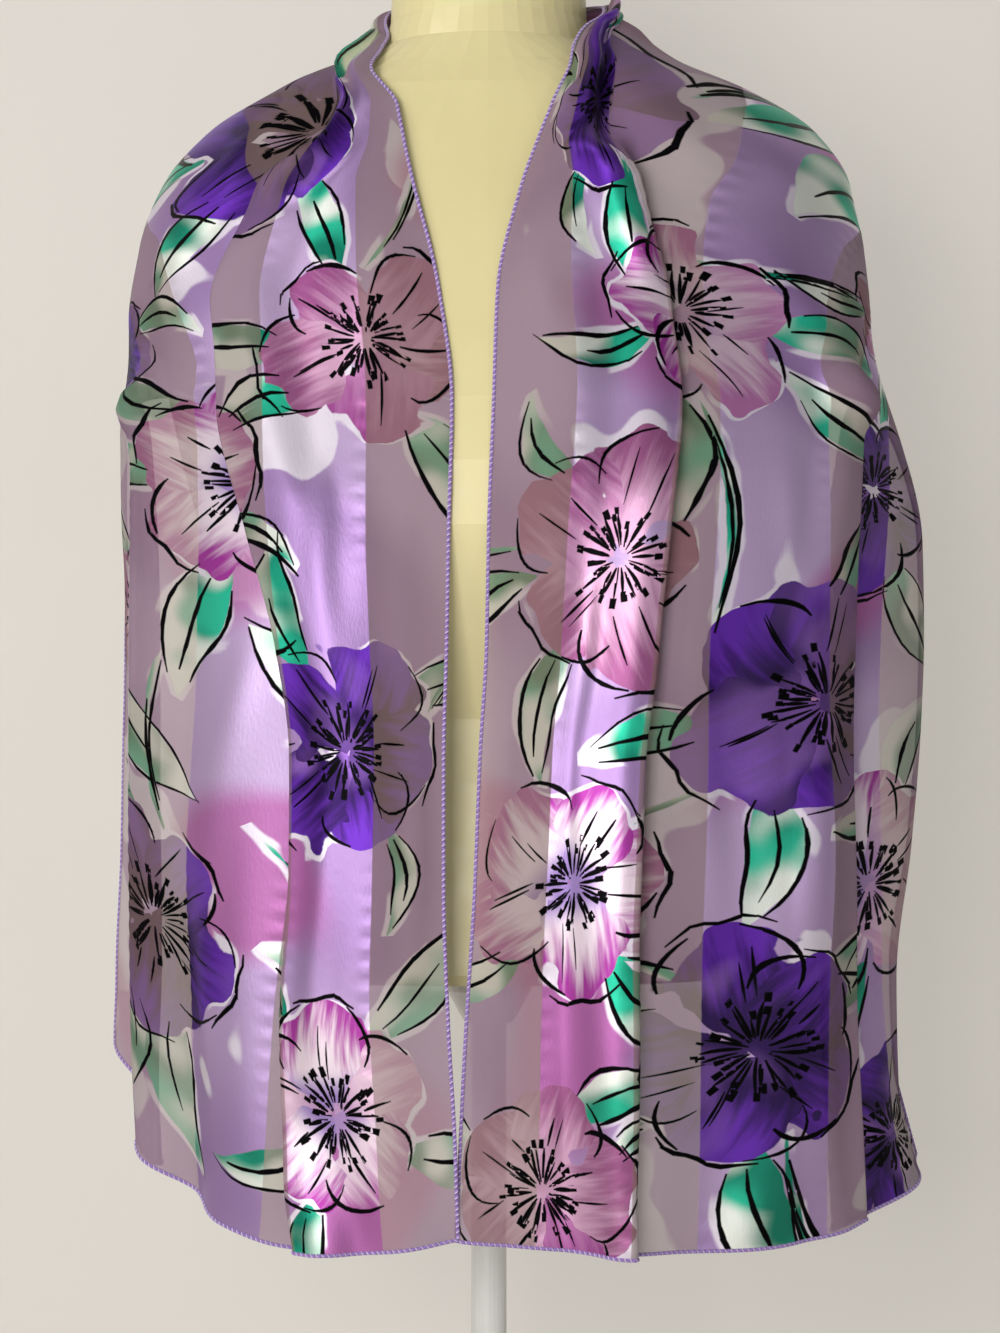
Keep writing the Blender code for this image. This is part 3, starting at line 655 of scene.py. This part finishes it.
def layShapes(mesh, name, shapes, corners, middles):  # each face keeps its place in the nearest of the shapes
    best = np.full(len(middles), 1e9)
    values = np.zeros(corners.shape[:2] + (4,))
    for shape in shapes:
        t, across = inShape(shape, middles)
        gap = np.hypot(across, (np.maximum(0, -t) + np.maximum(0, t - 1)) * shape["long"]) - shape["wide"]
        faces = np.nonzero(gap < best)[0]
        best[faces] = gap[faces]
        t, across = inShape(shape, corners[faces])
        values[faces, :, 0], values[faces, :, 1] = t, across
        values[faces, :, 2], values[faces, :, 3] = shape["wide"], shape["tint"]
    storeColour(mesh, name, "CORNER", values)


def layInk(mesh, strokes, corners, middles):  # each face keeps the nearest two strokes
    best = np.full((2, len(middles)), 1.0)
    ink = np.ones((2,) + corners.shape[:2] + (4,))
    ink[..., 1:3] = 0.0
    for points, halfWidth in strokes:
        low, high = points.min(0) - 0.007, points.max(0) + 0.007
        near = np.nonzero(((middles > low) & (middles < high)).all(axis=1))[0]
        if not len(near):
            continue
        closest = np.full(len(near), 1.0)
        record = np.zeros((len(near), 4, 4))
        record[..., 3] = 1.0
        last = len(points) - 2
        for index, (start, end) in enumerate(zip(points[:-1], points[1:])):
            way = end - start
            span = np.linalg.norm(way)
            way = way / span
            local = middles[near] - start
            at = local @ way
            sideways = local[:, 1] * way[0] - local[:, 0] * way[1]
            gap = np.hypot(sideways, np.maximum(-at, 0) + np.maximum(at - span, 0))
            closer = gap < closest
            closest[closer] = gap[closer]
            local = corners[near[closer]] - start
            at = local @ way
            record[closer, :, 0] = local[..., 1] * way[0] - local[..., 0] * way[1]
            share = (index + np.clip(at / span, 0, 1)) / (last + 1)
            swell = 0.45 + 0.75 * np.sin(math.pi * share) ** 0.8 if last else 1.0
            record[closer, :, 1] = halfWidth * swell
            over = np.full(at.shape, -1.0)
            if index == 0:
                over = np.maximum(over, -at)
            if index == last:
                over = np.maximum(over, at - span)
            record[closer, :, 2] = over
        first = closest < best[0, near]
        faces = near[first]
        ink[1, faces], best[1, faces] = ink[0, faces], best[0, faces]
        ink[0, faces], best[0, faces] = record[first], closest[first]
        second = ~first & (closest < best[1, near])
        faces = near[second]
        ink[1, faces], best[1, faces] = record[second], closest[second]
    storeColour(mesh, "ink0", "CORNER", ink[0])
    storeColour(mesh, "ink1", "CORNER", ink[1])


def layPrint(piece):
    mesh = piece.data
    chance = np.random.default_rng(motif["seed"])
    corners = np.zeros(len(mesh.loops) * 2)
    mesh.uv_layers["cut"].data.foreach_get("uv", corners)
    corners = corners.reshape(-1, 4, 2)
    middles = corners.mean(axis=1)
    petals, leaves = growPetals(chance), growLeaves(chance)
    for number, shapes in enumerate(petals):
        layShapes(mesh, "petal" + str(number), shapes, corners, middles)
    for number, shapes in enumerate(leaves):
        layShapes(mesh, "leaf" + str(number), shapes, corners, middles)
    layInk(mesh, inkStrokes(chance, petals, leaves), corners, middles)
    # slow changes of dye and line, worked out at the surface's own points
    uvOf = np.zeros((len(mesh.vertices), 2))
    loopPoints = np.zeros(len(mesh.loops), dtype=int)
    mesh.loops.foreach_get("vertex_index", loopPoints)
    uvOf[loopPoints] = corners.reshape(-1, 2)
    for name, scales in (("wash", (9, 13, 8, 30)), ("brush", (22, 48, 75, 110))):
        values = [[noise.noise(Vector((u * k, v * k, 5.0 + k))) * 0.5 + 0.5 for k in scales]
                  for u, v in uvOf.tolist()]
        storeColour(mesh, name, "POINT", np.array(values))


layPrint(scarfCloth)
print("print laid out")


def stored(tree, name):  # the four numbers of one of the cloth's attributes
    node = tree.nodes.new("ShaderNodeAttribute")
    node.attribute_name = name
    split = tree.nodes.new("ShaderNodeSeparateColor")
    tree.links.new(node.outputs["Color"], split.inputs[0])
    return split.outputs[0], split.outputs[1], split.outputs[2], node.outputs["Alpha"]


def joined(tree, x, y, z):
    node = tree.nodes.new("ShaderNodeCombineXYZ")
    for socket, value in zip(node.inputs, (x, y, z)):
        plug(tree, socket, value)
    return node.outputs[0]


def shapeLayers(tree, names, power, roundness, ragged):  # how far inside the top shape, and the place in it
    inside, place = None, None
    for name in names:
        t, across, wide, tint = stored(tree, name)
        held = calc(tree, "MINIMUM", calc(tree, "MAXIMUM", t, 0.0), 1.0)
        turn = calc(tree, "MULTIPLY", calc(tree, "POWER", held, power), math.pi)
        bulge = calc(tree, "MAXIMUM", calc(tree, "SINE", turn), 0.0)
        half = calc(tree, "MULTIPLY", calc(tree, "POWER", bulge, roundness), wide)
        within = calc(tree, "MULTIPLY", calc(tree, "GREATER_THAN", t, 0.0), calc(tree, "LESS_THAN", t, 1.0))
        depth = calc(tree, "SUBTRACT", calc(tree, "ADD", half, ragged), calc(tree, "ABSOLUTE", across))
        depth = calc(tree, "MULTIPLY_ADD", calc(tree, "SUBTRACT", 1.0, within), -0.02, depth)
        here = joined(tree, t, calc(tree, "DIVIDE", across, wide), tint)
        if inside is None:
            inside, place = depth, here
        else:
            top = calc(tree, "GREATER_THAN", depth, 0.0)
            place = blend(tree, top, place, here)
            inside = calc(tree, "MAXIMUM", inside, depth)
    return inside, parts(tree, place)


def paintLeaves(tree, under, brush, wash):
    ragged = calc(tree, "MULTIPLY_ADD", brush[2], 0.0040, -0.0020)
    names = ("leaf0", "leaf1")
    inside, (t, side, tint) = shapeLayers(tree, names, motif["leafPower"], motif["leafRound"], ragged)
    halo = calc(tree, "MULTIPLY", ramp(tree, inside, -0.0042, -0.0024), ramp(tree, brush[0], 0.46, 0.52))
    under = blend(tree, halo, under, colour(dye["wash"]))
    lean = calc(tree, "MULTIPLY_ADD", tint, 2.0, -1.0)  # which side of the leaf is the green one
    shade = calc(tree, "MULTIPLY", side, lean)
    shade = calc(tree, "ADD", shade, calc(tree, "MULTIPLY_ADD", brush[1], 3.2, -1.6))
    shade = calc(tree, "ADD", shade, calc(tree, "MULTIPLY_ADD", t, 0.9, -0.45))
    green = blend(tree, ramp(tree, wash[3], 0.35, 0.65), colour(dye["teal"]), colour(dye["mint"]))
    leaf = blend(tree, ramp(tree, shade, -0.45, 0.70), green, colour(dye["leafPale"]))
    return blend(tree, ramp(tree, inside, -0.0003, 0.0006), under, leaf)


def paintPetals(tree, under, brush, wash):
    ragged = calc(tree, "MULTIPLY_ADD", brush[1], 0.032, -0.016)
    ragged = calc(tree, "ADD", ragged, calc(tree, "MULTIPLY_ADD", brush[3], 0.009, -0.0045))
    names = ("petal0", "petal1", "petal2")
    inside, (t, side, tint) = shapeLayers(tree, names, motif["petalPower"], motif["petalRound"], ragged)
    halo = calc(tree, "MULTIPLY", ramp(tree, inside, -0.0050, -0.0030), ramp(tree, brush[0], 0.53, 0.58))
    under = blend(tree, halo, under, colour(dye["wash"]))
    tone = calc(tree, "FRACT", tint)
    streaks = cloud(tree, joined(tree, calc(tree, "MULTIPLY", side, 3.4), calc(tree, "MULTIPLY", t, 0.9),
                                 calc(tree, "MULTIPLY", tint, 17.0)), 1.6, 2.0, 0.6)
    edge = calc(tree, "ABSOLUTE", side)
    depth = calc(tree, "ADD", t, calc(tree, "MULTIPLY_ADD", streaks, 1.2, -0.6))
    watery = calc(tree, "ADD", wash[1], calc(tree, "MULTIPLY_ADD", brush[1], 0.5, -0.25))
    purple = blend(tree, ramp(tree, depth, 0.25, 0.95), colour(dye["deep"]), colour(dye["violet"]))
    bloomed = calc(tree, "MULTIPLY", ramp(tree, watery, 0.50, 0.68), ramp(tree, tone, 0.2, 0.9, 0.25, 0.9))
    purple = blend(tree, bloomed, purple, colour(dye["bloom"]))
    purple = blend(tree, ramp(tree, edge, 0.55, 1.0, 0.0, 0.6), purple, colour(dye["deep"]))
    pale = blend(tree, ramp(tree, calc(tree, "ADD", depth, calc(tree, "MULTIPLY", edge, 0.45)), 0.55, 1.15),
                 colour(dye["petal"]), colour(dye["orchid"]))
    pale = blend(tree, ramp(tree, t, 0.42, 0.14, 0.0, 0.7), pale, colour(dye["violet"]))
    pale = blend(tree, ramp(tree, tone, 0.45, 0.75, 0.0, 0.6), pale, colour(dye["duskPale"]))
    dusk = blend(tree, ramp(tree, depth, 0.20, 0.90), colour(dye["duskPale"]), colour(dye["dusk"]))
    dusk = blend(tree, ramp(tree, tone, 0.55, 0.75, 0.0, 0.6), dusk, colour(dye["orchid"]))
    petal = blend(tree, ramp(tree, tint, 0.90, 0.97), purple, pale)
    petal = blend(tree, ramp(tree, tint, 1.90, 1.97), petal, dusk)
    return blend(tree, ramp(tree, inside, -0.0004, 0.0008), under, petal)


def paintInk(tree, under, brush):
    inked = 0.0
    for name in ("ink0", "ink1"):
        away, half, over, _ = stored(tree, name)
        half = calc(tree, "MULTIPLY", half, calc(tree, "MULTIPLY_ADD", brush[3], 0.9, 0.55))
        gap = calc(tree, "SUBTRACT", calc(tree, "MAXIMUM", calc(tree, "ABSOLUTE", away), over), half)
        inked = calc(tree, "MAXIMUM", inked, ramp(tree, gap, -0.0003, 0.0003, 1.0, 0.0))
    return blend(tree, inked, under, colour(dye["ink"])), inked


weave = {
    # how much light each stripe stops, and how it shines
    "satin": {"solid": 0.99, "roughness": 0.45, "specular": 0.40, "metallic": 0.70},
    "sheer": {"solid": 0.82, "roughness": 0.70, "specular": 0.15, "metallic": 0.0},
    # the sheer stripes' share of grey stands partly for duller dye and partly for painted shade
    "edge": 0.0004, "sheerGreyAndShade": 0.57, "inkDull": 0.7, "anisotropic": 0.6, "threadsAcross": 900.0,
    "threadsAlong": 260.0,
}


def byWeave(tree, satin, name):  # its value on the satin stripes and on the sheer ones
    low = weave["sheer"][name]
    return calc(tree, "MULTIPLY_ADD", satin, weave["satin"][name] - low, low)


def clothMaterial():
    material, tree, shader = startMaterial("striped printed chiffon")
    uvMap = tree.nodes.new("ShaderNodeUVMap")
    uvMap.uv_map = "cut"
    across, along, _ = parts(tree, uvMap.outputs[0])
    # seven stripes: sheer, satin, sheer, satin, sheer, satin, sheer
    satin = 0.0
    soft = weave["edge"]
    for low, high in zip(stripeEdges[0::2], stripeEdges[1::2]):
        starts = ramp(tree, across, low - soft, low + soft)
        ends = ramp(tree, across, high - soft, high + soft, 1.0, 0.0)
        satin = calc(tree, "ADD", satin, calc(tree, "MULTIPLY", starts, ends))
    wash, brush = stored(tree, "wash"), stored(tree, "brush")
    ground = blend(tree, ramp(tree, wash[0], 0.35, 0.65), colour(dye["ground"]), colour(dye["groundPale"]))
    paleArea = calc(tree, "ADD", wash[1], calc(tree, "MULTIPLY_ADD", brush[1], 0.30, -0.15))
    ground = blend(tree, ramp(tree, paleArea, 0.65, 0.68), ground, colour(dye["wash"]))
    ground = blend(tree, ramp(tree, wash[2], 0.60, 0.70, 0.0, 0.8), ground, colour(dye["rose"]))
    painted = paintLeaves(tree, ground, brush, wash)
    painted = paintPetals(tree, painted, brush, wash)
    # sheer stripes are duller and let some light through; the grey mixed into them is partly their duller dye
    # and partly painted shade from what lies behind them
    sheer = blend(tree, weave["sheerGreyAndShade"], painted, colour(dye["grey"]))
    painted = blend(tree, satin, sheer, painted)
    painted, inked = paintInk(tree, painted, brush)
    tree.links.new(painted, shader.inputs["Base Color"])
    solid = calc(tree, "MAXIMUM", byWeave(tree, satin, "solid"), inked)
    tree.links.new(solid, shader.inputs["Alpha"])
    tree.links.new(byWeave(tree, satin, "roughness"), shader.inputs["Roughness"])
    dulled = calc(tree, "MULTIPLY_ADD", inked, -weave["inkDull"], 1.0)
    shine = calc(tree, "MULTIPLY", byWeave(tree, satin, "specular"), dulled)
    tree.links.new(shine, shader.inputs["Specular IOR Level"])
    tree.links.new(byWeave(tree, satin, "metallic"), shader.inputs["Metallic"])
    shader.inputs["Anisotropic"].default_value = weave["anisotropic"]  # threads spread the shine across
    tangent = tree.nodes.new("ShaderNodeTangent")
    tangent.direction_type, tangent.uv_map = "UV_MAP", "cut"
    tree.links.new(tangent.outputs[0], shader.inputs["Tangent"])
    finely = calc(tree, "MULTIPLY", across, weave["threadsAcross"])
    along = calc(tree, "MULTIPLY", along, weave["threadsAlong"])
    threads = cloud(tree, joined(tree, finely, along, 0.0), 1.0, 1.0)
    bump(tree, shader, threads, 0.0003, 0.30)
    return material


def hemMaterial():
    material, tree, shader = startMaterial("hem stitching")
    uvMap = tree.nodes.new("ShaderNodeUVMap")
    uvMap.uv_map = "cut"
    along, around, _ = parts(tree, uvMap.outputs[0])
    slant = calc(tree, "ADD", calc(tree, "DIVIDE", along, hem["stitch"]), around)
    turn = calc(tree, "FLOORED_MODULO", slant, 1.0)
    dark = ramp(tree, calc(tree, "ABSOLUTE", calc(tree, "SUBTRACT", turn, 0.5)), 0.10, 0.16, 1.0, 0.0)
    pale = ramp(tree, calc(tree, "ABSOLUTE", calc(tree, "SUBTRACT", turn, 0.15)), 0.08, 0.14, 1.0, 0.0)
    thread = blend(tree, pale, colour(hem["thread"]), colour(hem["paleThread"]))
    thread = blend(tree, calc(tree, "MULTIPLY", dark, 0.30), thread, colour(hem["gap"]))
    tree.links.new(thread, shader.inputs["Base Color"])
    shader.inputs["Roughness"].default_value = 0.55
    shader.inputs["Sheen Weight"].default_value = 0.3
    bump(tree, shader, calc(tree, "SINE", calc(tree, "MULTIPLY", slant, 2 * math.pi)), 0.0004, 0.8)
    return material


scarfCloth.data.materials.append(clothMaterial())
rolledHem.data.materials.append(hemMaterial())
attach(scarfCloth, "root")
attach(rolledHem, "root")
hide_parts("scarf_left_front", "scarf_back", "scarf_right_front")
print("cloth dyed and declared")

formLook = {"plastic": "dbd19e", "shade": "cfc48e", "metal": "dfe0dc", "metalShade": "c9c8c0"}


def formMaterial():
    material, tree, shader = startMaterial("cream moulded plastic")
    where = tree.nodes.new("ShaderNodeTexCoord").outputs["Object"]
    mottle = ramp(tree, cloud(tree, where, 9.0, 3.0), 0.35, 0.75, 0.0, 0.35)
    tint = blend(tree, mottle, colour(formLook["plastic"]), colour(formLook["shade"]))
    tree.links.new(tint, shader.inputs["Base Color"])
    gloss = ramp(tree, cloud(tree, where, 60.0, 2.0), 0.3, 0.7, 0.34, 0.46)
    tree.links.new(gloss, shader.inputs["Roughness"])
    shader.inputs["Subsurface Weight"].default_value = 0.08
    shader.inputs["Subsurface Radius"].default_value = (0.01, 0.008, 0.004)
    bump(tree, shader, cloud(tree, where, 380.0, 2.0), 0.0002, 0.12)
    return material


def metalMaterial():
    material, tree, shader = startMaterial("white enamel on steel")
    where = tree.nodes.new("ShaderNodeTexCoord").outputs["Object"]
    mottle = ramp(tree, cloud(tree, where, 7.0, 2.0), 0.45, 0.75, 0.0, 0.15)
    tint = blend(tree, mottle, colour(formLook["metal"]), colour(formLook["metalShade"]))
    tree.links.new(tint, shader.inputs["Base Color"])
    gloss = ramp(tree, cloud(tree, where, 14.0, 2.0), 0.3, 0.7, 0.28, 0.36)
    tree.links.new(gloss, shader.inputs["Roughness"])
    shader.inputs["Coat Weight"].default_value = 0.3
    bump(tree, shader, cloud(tree, where, 500.0, 2.0), 0.0001, 0.10)
    return material


cream, enamel = formMaterial(), metalMaterial()
finishes = {"dress_form": cream, "stand_base": enamel, "stand_pole": enamel, "stand_collar": enamel}
for name, finish in finishes.items():
    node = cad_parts[name]
    node.data.materials.clear()
    node.data.materials.append(finish)
print("form and stand finished")

stage = {
    "size": 6.0, "wall": 0.30, "floor": "efece6", "backdrop": "9f9b96", "shade": "c8c4c0",
    "light": "faf5ec", "glow": 0.39, "air": (1.0, 0.98, 0.96, 1.0), "airGlow": 0.19,
}


def plainSheet(name, location, turn):
    bpy.ops.object.select_all(action="DESELECT")
    bpy.ops.mesh.primitive_plane_add(size=stage["size"], location=location, rotation=(turn, 0, 0))
    sheetObject = bpy.context.object
    sheetObject.name = name
    bpy.ops.object.transform_apply(location=True, rotation=True, scale=True)
    material, tree, shader = startMaterial(name + " paint")
    where = tree.nodes.new("ShaderNodeTexCoord").outputs["Object"]
    mottle = ramp(tree, cloud(tree, where, 3.0, 2.0), 0.3, 0.7, 0.0, 0.08)
    tint = blend(tree, mottle, colour(stage[name]), colour(stage["shade"]))
    tree.links.new(tint, shader.inputs["Base Color"])
    shader.inputs["Roughness"].default_value = 0.7
    if name == "backdrop":  # lit from within a little, and shows from its front only
        shader.inputs["Emission Color"].default_value = colour(stage["light"])
        shader.inputs["Emission Strength"].default_value = stage["glow"]
        behind = tree.nodes.new("ShaderNodeNewGeometry").outputs["Backfacing"]
        clear, either = tree.nodes.new("ShaderNodeBsdfTransparent"), tree.nodes.new("ShaderNodeMixShader")
        for source, socket in zip((behind, shader.outputs[0], clear.outputs[0]), either.inputs):
            tree.links.new(source, socket)
        tree.links.new(either.outputs[0], tree.nodes["Material Output"].inputs["Surface"])
    sheetObject.data.materials.append(material)


plainSheet("floor", (0, 0, 0), 0)
plainSheet("backdrop", (0, stage["wall"], stage["size"] / 2), math.radians(90))

lights = (
    # name, place, aims at, size, power, colour
    ("window", (-0.55, -2.0, 0.58), (0.0, 0.0, 0.48), 0.80, 24, (1.0, 0.985, 0.97)),
    ("sky", (-1.6, -1.2, 2.1), (0.0, 0.0, 0.55), 1.2, 20, (1.0, 0.98, 0.94)),
    ("fill", (1.9, -2.0, 0.9), (0.0, 0.0, 0.45), 1.8, 4, (0.98, 0.97, 1.0)),
)
for name, place, target, size, power, tint in lights:
    lamp = bpy.data.lights.new(name, "AREA")
    lamp.size, lamp.energy, lamp.color = size, power, tint
    lampObject = bpy.data.objects.new(name, lamp)
    lampObject.location = place
    lampObject.rotation_euler = (Vector(target) - Vector(place)).to_track_quat("-Z", "Y").to_euler()
    bpy.context.scene.collection.objects.link(lampObject)
bpy.context.scene.view_settings.view_transform = "Standard"
bpy.context.scene.view_settings.look = "None"
cycles = bpy.context.scene.cycles  # enough for cloth in a pale room, and quick
cycles.max_bounces, cycles.diffuse_bounces, cycles.glossy_bounces = 5, 2, 2
cycles.transparent_max_bounces, cycles.adaptive_threshold = 8, 0.03
world = bpy.data.worlds.new("room")
bpy.context.scene.world = world
world.use_nodes = True
around = world.node_tree.nodes["Background"].inputs
around["Color"].default_value, around["Strength"].default_value = stage["air"], stage["airGlow"]
print("stage lit")
